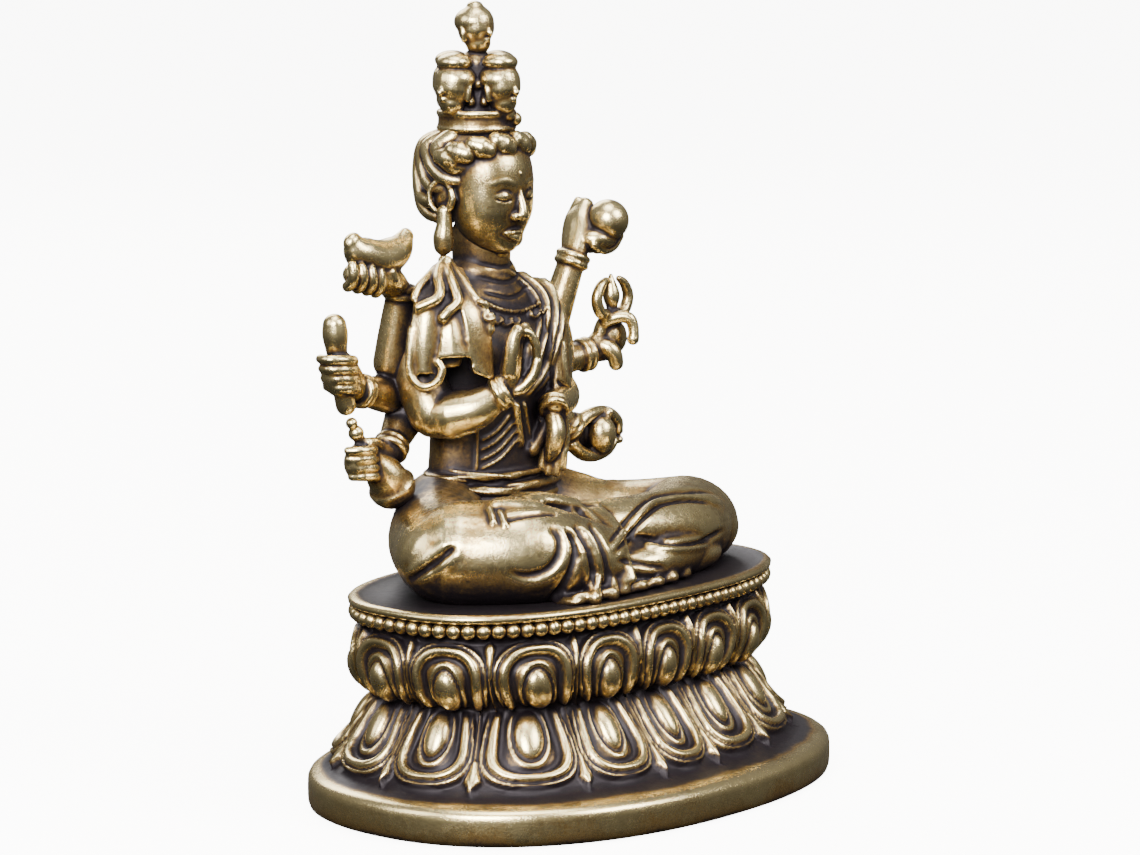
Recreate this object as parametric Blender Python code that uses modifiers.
"""Eight-armed bodhisattva seated on a double lotus, a one-piece brass casting 89 mm tall.

Metres, +Z up. The origin is under the middle of the foot plate and the figure faces -Y.
The pedestal is lofted at its real sizes. The figure is built from rounded solids and lofted
limbs, fused by a voxel Remesh, thinned by Decimate and joined to the pedestal by a Boolean.
"""

import math

import bmesh
import bpy
from mathutils import Matrix, Vector

# Pedestal, in metres
PLATE_HALF_WIDTH = 0.034
PLATE_HALF_DEPTH = 0.0244
LOTUS_SET_BACK = 0.0014
PLATE_THICKNESS = 0.0042
PLATE_EDGE_ROUND = 0.0009
FOOT_HEIGHT = 0.0058
LOWER_LOTUS_HALF_WIDTH = 0.0312
LOWER_LOTUS_HALF_DEPTH = 0.0212
WAIST_HEIGHT = 0.0132
WAIST_HALF_WIDTH = 0.0250
WAIST_HALF_DEPTH = 0.0140
UPPER_LOTUS_HALF_WIDTH = 0.0287
UPPER_LOTUS_HALF_DEPTH = 0.0165
UPPER_LOTUS_TOP = 0.0208
SEAT_HALF_WIDTH = 0.0290
SEAT_HALF_DEPTH = 0.0167
SEAT_TOP = 0.0243
SEAT_EDGE_ROUND = 0.0006
BEAD_DIAMETER = 0.0016
BEADS = 90
BEAD_HEIGHT = 0.0225
PETALS = 16
PETAL_RELIEF = 0.0011
SQUARENESS_LOW = 2.25
SQUARENESS_HIGH = 2.5
EDGE_COLUMNS = 48

# Figure: its height sets a unit, and every point of the figure is a number of units
FIGURE_HEIGHT = 0.065
FIGURE_SET_BACK = 0.0137
FIGURE_UNITS = 65.0
UNIT = FIGURE_HEIGHT / FIGURE_UNITS
VOXEL = 0.42 * UNIT
FIGURE_TRIANGLES = 5000

BRASS = (0.36, 0.25, 0.11)


def clear_scene():
    for obj in list(bpy.data.objects):
        bpy.data.objects.remove(obj)


def brass_material():
    """Aged cast brass."""
    material = bpy.data.materials.new("aged_cast_brass")
    material.use_nodes = True
    shader = material.node_tree.nodes["Principled BSDF"]
    shader.inputs["Base Color"].default_value = (*BRASS, 1.0)
    shader.inputs["Metallic"].default_value = 1.0
    shader.inputs["Roughness"].default_value = 0.35
    return material


# Rounded clay shapes, in figure units: x to the figure's left, f forward, z up from the seat


def point(x, f, z):
    return Vector((x, -f, z))


def smooth_run(stations, steps):
    """Catmull-Rom through the stations, each a tuple of numbers, with steps between two."""
    padded = [stations[0], *stations, stations[-1]]
    run = []
    for i in range(1, len(padded) - 2):
        before, start, end, after = padded[i - 1 : i + 3]
        for k in range(steps):
            t = k / steps
            run.append(
                tuple(
                    0.5
                    * (
                        2 * b
                        + (c - a) * t
                        + (2 * a - 5 * b + 4 * c - d) * t * t
                        + (3 * b - a - 3 * c + d) * t ** 3
                    )
                    for a, b, c, d in zip(before, start, end, after)
                )
            )
    run.append(tuple(stations[-1]))
    return run


def loft(clay, rings):
    """Closes a run of equal rings of points into one solid, with a fan at each end."""
    sides = len(rings[0])
    verts = [[clay.verts.new(p) for p in ring] for ring in rings]
    for low, high in zip(verts, verts[1:]):
        for i in range(sides):
            j = (i + 1) % sides
            clay.faces.new((low[i], low[j], high[j], high[i]))
    clay.faces.new(verts[0][::-1])
    clay.faces.new(verts[-1])


def limb(clay, stations, across=None, sides=12, steps=5):
    """A rounded limb through stations of (x, f, z, half width) or (x, f, z, half width, half
    thickness). across is the direction of the width, where the two differ."""
    stations = [(*s, s[3]) if len(s) == 4 else s for s in stations]
    run = smooth_run(stations, steps)
    centres = [point(*s[:3]) for s in run]
    wide = Vector((across[0], -across[1], across[2])) if across else None
    rings = []
    for i, (centre, station) in enumerate(zip(centres, run)):
        along = centres[min(i + 1, len(run) - 1)] - centres[max(i - 1, 0)]
        along.normalize()
        side = wide or (Vector((0, 0, 1)) if abs(along.z) < 0.9 else Vector((1, 0, 0)))
        side = (side - along * side.dot(along)).normalized()
        depth = along.cross(side)
        half_width, half_depth = station[3], station[4]
        ring = (centre, along, side, depth, half_width, half_depth)
        rings.append(ring)
    shaped = []
    for end, sign in ((rings[0], -1), (rings[-1], 1)):
        cap = []
        centre, along, side, depth, half_width, half_depth = end
        for k in range(3):
            angle = math.radians(20 + 30 * k)
            cap.append(
                (
                    centre + along * sign * min(half_width, half_depth) * math.sin(angle),
                    along,
                    side,
                    depth,
                    half_width * math.cos(angle),
                    half_depth * math.cos(angle),
                )
            )
        shaped.append(cap)
    whole = shaped[0][::-1] + rings + shaped[1]
    turns = [2 * math.pi * k / sides for k in range(sides)]
    loft(
        clay,
        [
            [c + s * (w * math.cos(t)) + d * (h * math.sin(t)) for t in turns]
            for c, _, s, d, w, h in whole
        ],
    )


def ball(clay, centre, radii, tilt=0.0, about="X"):
    """An ellipsoid of three half sizes, along x, f and z, tilted about one axis in degrees."""
    place = Matrix.Translation(point(*centre))
    turn = Matrix.Rotation(math.radians(tilt), 4, about)
    bmesh.ops.create_icosphere(
        clay,
        subdivisions=3,
        radius=1.0,
        matrix=place @ turn @ Matrix.Diagonal((*radii, 1.0)),
    )


def hoop(clay, centre, radii, thickness, normal=(0, 0, 1)):
    """A round ring, such as a bracelet, about a normal."""
    axis = Vector((normal[0], -normal[1], normal[2])).normalized()
    turn = axis.to_track_quat("Z", "Y").to_matrix()
    steps = 20
    stations = []
    for k in range(steps + 1):
        t = 2 * math.pi * k / steps
        p = point(*centre) + turn @ Vector((radii[0] * math.cos(t), radii[1] * math.sin(t), 0))
        stations.append((p.x, -p.y, p.z, thickness))
    limb(clay, stations, sides=8, steps=1)


def both_sides(make):
    for side in (-1, 1):
        make(side)


# The figure's forms


def legs(clay):
    ball(clay, (0, 1.2, 5.6), (12.0, 5.6, 6.6))
    ball(clay, (0, 13, 3.0), (16, 10, 4.6))

    def thigh(side):
        limb(
            clay,
            [
                (side * 6.0, 2.0, 6.4, 6.2, 6.2),
                (side * 14.2, 6.2, 4.7 - 0.4 * side, 5.5, 5.0 - 0.4 * side),
                (side * 19.8 + 0.3, 12.6, 4.1 - 0.3 * side, 6.0, 5.0 - 0.3 * side),
            ],
            across=(1, -0.6, 0),
            sides=16,
        )

    both_sides(thigh)
    limb(clay, [(-19.0, 13.4, 4.5, 6.0, 5.2), (-13.6, 19.2, 4.4, 5.6, 4.8), (-6, 22.0, 3.2, 4.0, 3.6)],
         across=(-0.6, -1, 0), sides=16)
    limb(clay, [(19.8, 13.6, 4.1, 6.0, 4.8), (12.4, 18.2, 4.6, 5.0, 4.4), (4, 18.8, 6.4, 3.6, 3.4),
                (-5, 15.6, 8.8, 2.4, 2.2)], across=(0.6, -1, 0), sides=16)
    # Left foot, sole up on the right thigh, and right foot below the left shin
    limb(clay, [(-4, 16.0, 9.4, 1.8, 1.3), (-9, 14.6, 10.4, 2.1, 1.2), (-13, 12.6, 10.6, 1.6, 0.9)],
         across=(0.2, 1, 0))
    limb(clay, [(1, 22.6, 2.0, 2.2, 1.8), (6, 23.0, 2.0, 2.1, 1.5), (11.5, 22.4, 1.4, 1.6, 1.0)],
         across=(0, 0.6, 1))
    # Cloth that falls between the shins to the seat
    for x_top, x_low, f_low in ((-6.0, -10.4, 25.6), (-3.8, -7.2, 25.4), (-1.6, -3.8, 24.2)):
        limb(
            clay,
            [
                (x_top, 18.5, 8.6, 0.7),
                ((x_top + x_low) / 2, 22.8, 6.4, 1.0),
                (x_low, f_low, 0.4, 1.3),
            ],
        )
    limb(clay, [(-14, 23, 0.2, 3.0, 0.7), (-6, 23.2, 0.2, 3, 0.7), (6, 22.6, 0.2, 3, 0.7)],
         across=(0, 1, 0))


def torso(clay):
    limb(
        clay,
        [
            (0, 1.4, 4.0, 11.5, 5.2),
            (0, 1.0, 8.5, 10.0, 5.1),
            (0, 0.9, 12.5, 9.4, 5.0),
            (0, 0.9, 18.0, 9.4, 5.1),
            (0, 1.0, 23.5, 10.0, 5.4),
            (0, 0.4, 28.8, 9.8, 4.8),
            (0, 0.0, 31.8, 7.2, 4.2),
            (0, -0.2, 33.8, 4.0, 3.6),
        ],
        across=(1, 0, 0),
        sides=20,
    )
    limb(clay, [(0, -0.5, 30.5, 3.6), (0, -0.6, 34, 3.1), (0, -0.6, 38, 3.3)])
    both_sides(lambda side: ball(clay, (side * 9.2, 0.1, 28.3), (3.4, 3.4, 3.4)))
    # Belt rolls at the waist
    for z, half_width, half_depth in ((9.0, 10.1, 5.3), (10.6, 9.8, 5.2)):
        hoop(clay, (0, 1.0, z), (half_width, half_depth), 0.5)


def head(clay):
    ball(clay, (0, -1.8, 45.0), (6.0, 7.4, 5.6))
    ball(clay, (0, 1.0, 42.6), (5.3, 5.4, 6.4))
    ball(clay, (0, 2.2, 38.4), (3.0, 3.0, 2.6))
    limb(clay, [(0, 6.3, 45.0, 0.5), (0, 6.9, 42.4, 0.7), (0, 6.4, 41.0, 0.9)])
    for x in (-1, 1):
        limb(clay, [(x * 5.7, -0.6, 44.8, 1.2, 0.6), (x * 6.4, -0.8, 42.2, 1.3, 0.6),
                    (x * 6.3, -0.4, 38.4, 0.8, 0.7), (x * 6.2, -0.2, 36.6, 1.1, 0.9)],
             across=(0, 1, 0))
    # Twisted lock over the brow and combed hair behind the ears
    for k in range(7):
        angle = math.radians(-78 + 26 * k)
        x, f = 5.2 * math.sin(angle), -1.6 + 6.0 * math.cos(angle)
        ball(clay, (x, f, 48.4 - 1.2 * math.sin(angle) ** 2), (1.6, 1.6, 1.4))
    hoop(clay, (0, -1.2, 51.7), (3.8, 4.0), 1.0)
    limb(clay, [(0, -1.2, 48, 4.5), (0, -1.2, 52.0, 4.4)])


def small_head(clay, x, f, z, size, facing):
    """One of the heads of the crown, its chin at z, with a bun on top."""
    forward = Vector((math.sin(facing), math.cos(facing)))
    ball(clay, (x, f, z + 1.05 * size), (size, size, 1.15 * size))
    nose = (x + forward.x * size, f + forward.y * size, z + 0.95 * size)
    ball(clay, nose, (0.16 * size, 0.16 * size, 0.3 * size))
    ball(clay, (x, f, z + 2.15 * size), (0.72 * size, 0.72 * size, 0.6 * size))


def crown(clay):
    limb(clay, [(0, -0.9, 52.0, 2.6), (0, -0.9, 60.0, 1.8)])
    for facing in range(4):
        angle = facing * math.pi / 2
        x, f = 3.3 * math.sin(angle), -1.1 + 3.3 * math.cos(angle)
        small_head(clay, x, f, 52.9, 2.25, angle)
    small_head(clay, 0, -1.5, 59.4, 2.25, 0.0)


def hand(clay, wrist, fingers, palm, curl, size=1.0, thumb=1, spread=0.95):
    """An open or closed hand. fingers and palm are the directions that they point and face,
    curl is how far each finger joint bends, in degrees, and thumb is the side it is on."""
    along = Vector((fingers[0], -fingers[1], fingers[2])).normalized()
    face = Vector((palm[0], -palm[1], palm[2]))
    face = (face - along * face.dot(along)).normalized()
    side = along.cross(face) * thumb
    start = point(*wrist)

    def put(u, v, n):
        p = start + (along * u + side * v + face * n) * size
        return p.x, -p.y, p.z

    wide = (side.x, -side.y, side.z)
    limb(
        clay,
        [
            (*put(-0.6, 0, 0), 1.3 * size, 1.1 * size),
            (*put(1.2, 0, 0), 1.7 * size, 0.95 * size),
            (*put(3.6, 0, 0), 2.0 * size, 0.8 * size),
        ],
        across=wide,
        steps=3,
    )
    for k in range(4):
        bend = 0.0
        u, n = 3.6, 0.0
        v = (1.5 - k) * spread
        run = [(*put(u, v, n), 0.55 * size)]
        for length in (1.6, 1.2, 0.9):
            bend += math.radians(curl)
            u += length * math.cos(bend)
            n += length * math.sin(bend)
            run.append((*put(u, v, n), 0.52 * size))
        limb(clay, run, sides=8, steps=2)
    limb(
        clay,
        [
            (*put(0.9, 1.3, 0.2), 0.7 * size),
            (*put(2.2, 2.1, 1.0), 0.62 * size),
            (*put(3.4, 1.9, 1.9), 0.55 * size),
        ],
        sides=8,
        steps=2,
    )


def arms(clay):
    # Front pair: the right hand teaches before the chest, the left rests open, fingers down
    limb(clay, [(-9.4, 0.2, 28, 3.1), (-12.2, 1.0, 23.5, 3.0), (-12.6, 3.0, 19.4, 2.8)])
    limb(clay, [(-12.4, 3.2, 19.3, 2.8), (-10.4, 7.4, 18.9, 2.5), (-7.4, 10.2, 20.4, 1.6)])
    hoop(clay, (-7.6, 10.0, 20.3), (1.75, 1.75), 0.4, normal=(0.7, 0.6, 0.4))
    hand(clay, (-7.2, 10.4, 20.8), (0.25, 0.1, 1), (0.5, 1, 0), 12, thumb=-1)
    limb(clay, [(9.0, 0.2, 28, 3.1), (10.8, 0.6, 23.5, 2.8), (10.9, 1.8, 19.6, 2.5)])
    limb(clay, [(10.9, 2.0, 19.4, 2.5), (9.2, 6.0, 18.6, 2.2), (6.2, 8.6, 17.6, 1.5)])
    hoop(clay, (6.6, 8.4, 17.7), (1.7, 1.7), 0.4, normal=(-0.7, 0.5, -0.2))
    hand(clay, (6.0, 8.8, 17.2), (-0.35, 0.15, -1), (0, 1, 0.1), 8, thumb=-1, size=0.85)

    # Three pairs behind, each as side, elbow and wrist
    fan = (
        (-1, (-14.9, -1.4, 24.4), (-14.8, -0.6, 32.6)),
        (-1, (-14.4, -2.0, 21.2), (-20.0, -1.4, 22.6)),
        (-1, (-12.4, -1.6, 17.6), (-16.2, -0.8, 15.4)),
        (1, (12.4, -1.6, 23.6), (15.6, -0.6, 33.8)),
        (1, (12.6, -2.0, 21.4), (19.2, -1.2, 23.0)),
        (1, (12.0, -1.8, 18.2), (16.8, -0.8, 14.6)),
    )
    for side, elbow, wrist in fan:
        middle = [e + 0.45 * (w - e) for e, w in zip(elbow, wrist)]
        limb(clay, [(side * 8.6, -1.6, 27.4, 2.8), (*elbow, 2.3)])
        limb(clay, [(*elbow, 2.4), (*middle, 2.1), (*wrist, 1.45)])
        direction = [w - e for e, w in zip(elbow, wrist)]
        hoop(clay, wrist, (1.6, 1.6), 0.4, normal=direction)


def attributes(clay):
    """The outer hands and what they hold."""
    # Right side: ingot, club and bell
    hand(clay, (-15.4, -0.4, 32.9), (-1, 0.1, 0.06), (0.1, 0, 1), 16, thumb=1, size=1.15)
    limb(clay, [(-22.6, 0.2, 38.4, 1.0, 0.9), (-20.5, 0.2, 36.2, 1.7, 1.7), (-17.8, 0.2, 35.6, 2.0, 2.0),
                (-15.2, 0.2, 36.6, 1.7, 1.7), (-13.2, 0.2, 39.2, 1.0, 0.9)], across=(0, 1, 0))
    hand(clay, (-21.2, -1.4, 22.8), (-1, 0.1, 0.15), (0, 1, 0), 62, thumb=-1)
    limb(clay, [(-25.2, 0.4, 30.2, 1.25), (-24.9, 0.4, 26.5, 1.1), (-24.0, 0.4, 21.6, 1.1),
                (-23.5, 0.4, 20.4, 0.8)])
    hand(clay, (-17.0, -0.8, 15.2), (-1, 0.1, -0.1), (0, 1, 0.1), 62, thumb=-1)
    limb(clay, [(-22.8, 0.6, 18.2, 0.6), (-22.0, 0.6, 17.2, 0.95), (-20.8, 0.6, 15.6, 0.8),
                (-19.2, 0.8, 14.0, 1.9), (-17.4, 1.0, 12.2, 2.3), (-16.6, 1.0, 11.6, 2.7)])
    # Left side: pearl, three-pronged vajra and water jar
    hand(clay, (16.0, -0.5, 34.6), (0.8, 0.1, 1), (1, 0.2, -0.5), 20, thumb=1)
    ball(clay, (21.0, 0.3, 37.4), (2.75, 2.75, 2.75))
    hand(clay, (19.8, 0, 23.0), (1, 0.1, 0.35), (0.2, 1, 0), 58, thumb=1)
    limb(clay, [(23.0, 1.4, 21.5, 0.6), (23.0, 1.4, 26.8, 0.9), (23.0, 1.4, 31.6, 0.45)])
    for x in (-1, 1):
        limb(clay, [(23.0, 1.4, 26.8, 0.5), (23.0 + x * 2.2, 1.4, 28.6, 0.5),
                    (23.0 + x * 1.5, 1.4, 31.0, 0.4)])
    hand(clay, (17.0, -0.6, 14.6), (1, 0.1, -0.2), (0, 1, 0.2), 50, thumb=1)
    limb(clay, [(20.4, 1.2, 15.6, 1.2), (20.2, 1.4, 13.2, 2.0), (20.0, 1.4, 11.2, 1.0)])


def shawl(clay):
    # Right shoulder: three falls over the upper arm and one down the chest
    falls = (
        ([(-6.0, -2.0, 32.0), (-10.8, 0.2, 30.6), (-13.6, 1.6, 26.5), (-13.6, 2.6, 22.6)], 1.9),
        ([(-5.4, 0.0, 32.4), (-10.0, 3.0, 30.0), (-12.0, 4.4, 26.5), (-11.6, 4.9, 24.2)], 1.8),
        ([(-4.4, 1.6, 32.2), (-7.6, 4.6, 29.0), (-8.8, 6.2, 24.6), (-8.4, 6.4, 21.4)], 1.8),
        ([(-3.4, 2.6, 31.6), (-5.2, 5.6, 28.0), (-5.6, 6.6, 24.0), (-5.2, 6.6, 20.0)], 1.3),
    )
    for run, width in falls:
        stations = [(*p, width * (0.6 + 0.4 * k / 3), 0.9) for k, p in enumerate(run)]
        limb(clay, stations, across=(0.8, -0.6, 0.1))
    # Left shoulder: falls down the chest and crosses to the waist
    left = (
        [(3.4, 2.6, 31.8), (8.0, 4.2, 28.6), (8.6, 6.2, 23.5), (5.4, 6.9, 18.4), (1.4, 6.4, 15.0)],
        [(4.6, 1.0, 32.2), (9.8, 3.2, 29.2), (10.6, 5.0, 23.5), (7.4, 6.4, 17.6), (2.6, 6.2, 14.0)],
    )
    for run in left:
        limb(clay, [(*p, 1.3, 0.7) for p in run], across=(1, 0.2, 0.1))


def brass_figure():
    """The figure as one closed mesh in the row frame."""
    clay = bmesh.new()
    for form in (legs, torso, head, crown, arms, attributes, shawl):
        form(clay)
    bmesh.ops.transform(clay, matrix=Matrix.Diagonal((UNIT, UNIT, UNIT, 1.0)), verts=clay.verts)
    bmesh.ops.translate(clay, vec=(0, FIGURE_SET_BACK, SEAT_TOP), verts=clay.verts)
    figure = object_from(clay, "figure")
    fuse = figure.modifiers.new("fuse", "REMESH")
    fuse.mode = "VOXEL"
    fuse.voxel_size = VOXEL
    soften = figure.modifiers.new("soften", "SMOOTH")
    soften.factor = 0.5
    soften.iterations = 1
    thin = figure.modifiers.new("thin", "DECIMATE")
    thin.ratio = FIGURE_TRIANGLES / triangles_of(figure)
    return figure


def triangles_of(obj):
    """The number of triangles of an object with its modifiers."""
    evaluated = obj.evaluated_get(bpy.context.evaluated_depsgraph_get())
    mesh = evaluated.to_mesh()
    count = sum(len(polygon.vertices) - 2 for polygon in mesh.polygons)
    evaluated.to_mesh_clear()
    return count


# Pedestal


def signed_power(value, power):
    return math.copysign(abs(value) ** power, value)


def turns_at(shares):
    """Angles of the lotus outline at shares of its length from the front."""
    steps = 4000
    low, high = -math.pi / 2, 3 * math.pi / 2
    lengths = [0.0]
    before = None
    for k in range(steps + 1):
        t = low + (high - low) * k / steps
        p = outline_point(UPPER_LOTUS_HALF_WIDTH, UPPER_LOTUS_HALF_DEPTH, SQUARENESS_HIGH, t)
        if before is not None:
            lengths.append(lengths[-1] + math.hypot(p[0] - before[0], p[1] - before[1]))
        before = p
    turns = []
    k = 0
    for share in shares:
        goal = lengths[-1] * share
        while lengths[k + 1] < goal:
            k += 1
        part = (goal - lengths[k]) / (lengths[k + 1] - lengths[k])
        turns.append(low + (high - low) * (k + part) / steps)
    return turns


def outline_point(half_width, half_depth, exponent, t):
    """A point of a rounded-square outline, with its outward direction."""
    c, s = math.cos(t), math.sin(t)
    x = half_width * signed_power(c, 2 / exponent)
    y = half_depth * signed_power(s, 2 / exponent)
    nx = signed_power(c, 2 - 2 / exponent) / half_width
    ny = signed_power(s, 2 - 2 / exponent) / half_depth
    size = math.hypot(nx, ny)
    return x, y, nx / size, ny / size


# Across a petal from its middle: where each column stands, and how far out its boss,
# groove, rim and the valley between two petals stand, as shares of PETAL_RELIEF
PETAL_COLUMNS = (0.0, 0.15, 0.33, 0.5, 0.67, 0.85)
TIP = (0.3, 0.25, 0.0, -0.9, 0.0, 0.25)
RIM = (0.5, 0.5, 0.4, -0.9, 0.4, 0.5)
GROOVE = (0.6, 0.1, 0.5, -0.9, 0.5, 0.1)
BOSS = (1.0, 0.1, 0.5, -0.8, 0.5, 0.1)
ROOT = (0.3, 0.0, 0.2, -0.4, 0.2, 0.0)
PLAIN = (0.0,)

PETAL_SHARES = [(i + c) / PETALS for i in range(PETALS) for c in PETAL_COLUMNS]
BEAD_SHARES = [i / (2 * BEADS) for i in range(2 * BEADS)]
EDGE_SHARES = [i / EDGE_COLUMNS for i in range(EDGE_COLUMNS)]


def pedestal_rows():
    """Each row from the bottom up: half width, half depth, height, outline exponent, set back,
    shares of its columns, relief by column, and how far the petals' corners draw up."""
    low, high = SQUARENESS_LOW, SQUARENESS_HIGH
    back = LOTUS_SET_BACK
    edge = PLATE_EDGE_ROUND
    a, b = PLATE_HALF_WIDTH, PLATE_HALF_DEPTH
    rows = []
    for inset, height in (
        (edge, 0.0),
        (0.0, edge),
        (0.0, PLATE_THICKNESS - edge),
        (edge, PLATE_THICKNESS),
    ):
        rows.append((a - inset, b - inset, height, low, 0.0, EDGE_SHARES, PLAIN, 0.0))

    c, d = LOWER_LOTUS_HALF_WIDTH, LOWER_LOTUS_HALF_DEPTH
    e, g = WAIST_HALF_WIDTH, WAIST_HALF_DEPTH
    under = PLATE_THICKNESS + 0.0006
    rows.append((c - 0.0022, d - 0.0022, under, low, back, PETAL_SHARES, PLAIN, 0.0))
    rise = WAIST_HEIGHT - FOOT_HEIGHT
    for share, out, relief, draw in (
        (0.0, 0.96, TIP, 0.0014),
        (0.10, 0.98, RIM, 0.0006),
        (0.28, 0.76, GROOVE, 0.0),
        (0.52, 0.48, BOSS, 0.0),
        (0.80, 0.16, ROOT, 0.0),
        (1.0, 0.0, PLAIN, 0.0),
    ):
        rows.append(
            (
                e + (c - e) * out,
                g + (d - g) * out,
                FOOT_HEIGHT + rise * share,
                low + (high - low) * share,
                back,
                PETAL_SHARES,
                relief,
                draw,
            )
        )
    h, k = UPPER_LOTUS_HALF_WIDTH, UPPER_LOTUS_HALF_DEPTH
    rise = UPPER_LOTUS_TOP - WAIST_HEIGHT
    for share, out, relief, draw in (
        (0.16, 0.56, ROOT, 0.0),
        (0.38, 0.92, BOSS, 0.0),
        (0.68, 1.0, GROOVE, 0.0),
        (0.90, 0.96, RIM, -0.0006),
        (1.0, 0.82, TIP, -0.0014),
    ):
        height = WAIST_HEIGHT + rise * share
        rows.append(
            (e + (h - e) * out, g + (k - g) * out, height, high, back, PETAL_SHARES, relief, draw)
        )
    m, n = SEAT_HALF_WIDTH, SEAT_HALF_DEPTH
    radius = BEAD_DIAMETER / 2
    inner = 0.0018
    rows.append(
        (m - inner, n - inner, UPPER_LOTUS_TOP + 0.0002, high, back, PETAL_SHARES, PLAIN, 0.0)
    )
    for height, peak in ((-1.0, 0.0), (-0.5, 0.8), (0.5, 0.8), (1.0, 0.0)):
        rows.append(
            (
                m - radius,
                n - radius,
                BEAD_HEIGHT + radius * height,
                high,
                back,
                BEAD_SHARES,
                (peak * radius / PETAL_RELIEF, -0.3 * peak * radius / PETAL_RELIEF),
                0.0,
            )
        )
    edge = SEAT_EDGE_ROUND
    rows.append((m, n, SEAT_TOP - edge, high, back, PETAL_SHARES, PLAIN, 0.0))
    rows.append((m - edge, n - edge, SEAT_TOP, high, back, PETAL_SHARES, PLAIN, 0.0))
    return rows


def pedestal():
    clay = bmesh.new()
    rings = []
    for half_width, half_depth, height, exponent, back, shares, relief, draw in pedestal_rows():
        ring = []
        for i, t in enumerate(turns_at(shares)):
            x, y, nx, ny = outline_point(half_width, half_depth, exponent, t)
            out = relief[i % len(relief)] * PETAL_RELIEF
            corner = 0.0
            if draw:
                across = abs(PETAL_COLUMNS[i % len(PETAL_COLUMNS)] - 0.5)
                corner = draw * (1 - 2 * across) ** 2
            ring.append(clay.verts.new((x + nx * out, y + back + ny * out, height + corner)))
        rings.append((shares, ring))
    for (low_shares, low), (high_shares, high) in zip(rings, rings[1:]):
        bridge(clay, low_shares, low, high_shares, high)
    clay.faces.new(rings[0][1][::-1])
    clay.faces.new(rings[-1][1])
    return object_from(clay, "pedestal")


def bridge(clay, low_shares, low, high_shares, high):
    """Closes the band between two rings, which may have unequal counts of points."""
    i = j = 0
    while i < len(low) or j < len(high):
        next_low = low_shares[i + 1] if i + 1 < len(low) else 1.0 + (i >= len(low))
        next_high = high_shares[j + 1] if j + 1 < len(high) else 1.0 + (j >= len(high))
        a, b = low[i % len(low)], high[j % len(high)]
        if abs(next_low - next_high) < 1e-9:
            c, d = low[(i + 1) % len(low)], high[(j + 1) % len(high)]
            if i % len(PETAL_COLUMNS) < len(PETAL_COLUMNS) // 2:
                clay.faces.new((a, c, b))
                clay.faces.new((c, d, b))
            else:
                clay.faces.new((a, c, d))
                clay.faces.new((a, d, b))
            i += 1
            j += 1
        elif next_low < next_high:
            clay.faces.new((a, low[(i + 1) % len(low)], b))
            i += 1
        else:
            clay.faces.new((a, high[(j + 1) % len(high)], b))
            j += 1


def object_from(clay, name):
    bmesh.ops.recalc_face_normals(clay, faces=clay.faces)
    mesh = bpy.data.meshes.new(name)
    clay.to_mesh(mesh)
    clay.free()
    obj = bpy.data.objects.new(name, mesh)
    bpy.context.scene.collection.objects.link(obj)
    return obj


def join_to(whole, part):
    """Adds a part to the whole by a Boolean and keeps the part as a hidden cutter."""
    join = whole.modifiers.new("join_" + part.name, "BOOLEAN")
    join.operation = "UNION"
    join.solver = "EXACT"
    join.object = part
    part.hide_render = True
    part.display_type = "WIRE"


def build():
    clear_scene()
    statue = pedestal()
    statue.name = "bodhisattva_statue"
    statue.data.name = "bodhisattva_statue"
    join_to(statue, brass_figure())
    statue.data.materials.append(brass_material())


build()
